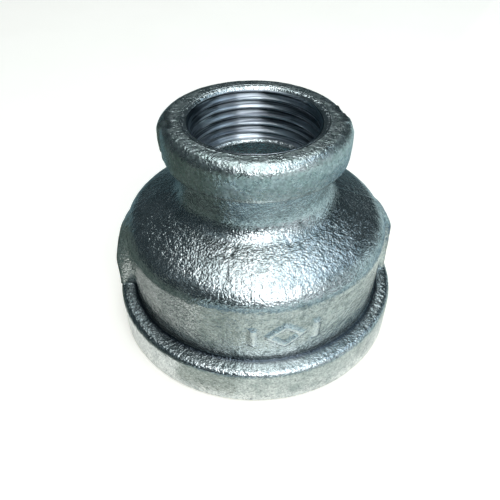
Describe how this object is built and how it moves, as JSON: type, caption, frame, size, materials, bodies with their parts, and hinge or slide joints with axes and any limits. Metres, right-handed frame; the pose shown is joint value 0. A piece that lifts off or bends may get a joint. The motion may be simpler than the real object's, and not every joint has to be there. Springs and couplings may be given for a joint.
{
  "type": "threaded reducing socket",
  "caption": "Concentric reducing socket that joins a large threaded pipe to a small one, with a collar and a female thread at each end.",
  "frame": {"origin": "centre of the large end face, on the common axis of both threads", "axes": "+Z along the common axis, from the large end to the small end; the parting line's two wrench ribs lie near the X axis, turned 5 degrees about +Z"},
  "size_m": [0.0752, 0.0752, 0.057],
  "materials": {
    "galvanised_iron": "hot-dip zinc coat over a rough casting",
    "cut_thread": "bare machined iron, lightly oiled"
  },
  "bodies": {
    "root": {"casting": "galvanised_iron", "small_end_thread": "cut_thread", "large_end_thread": "cut_thread"}
  },
  "joints": []
}
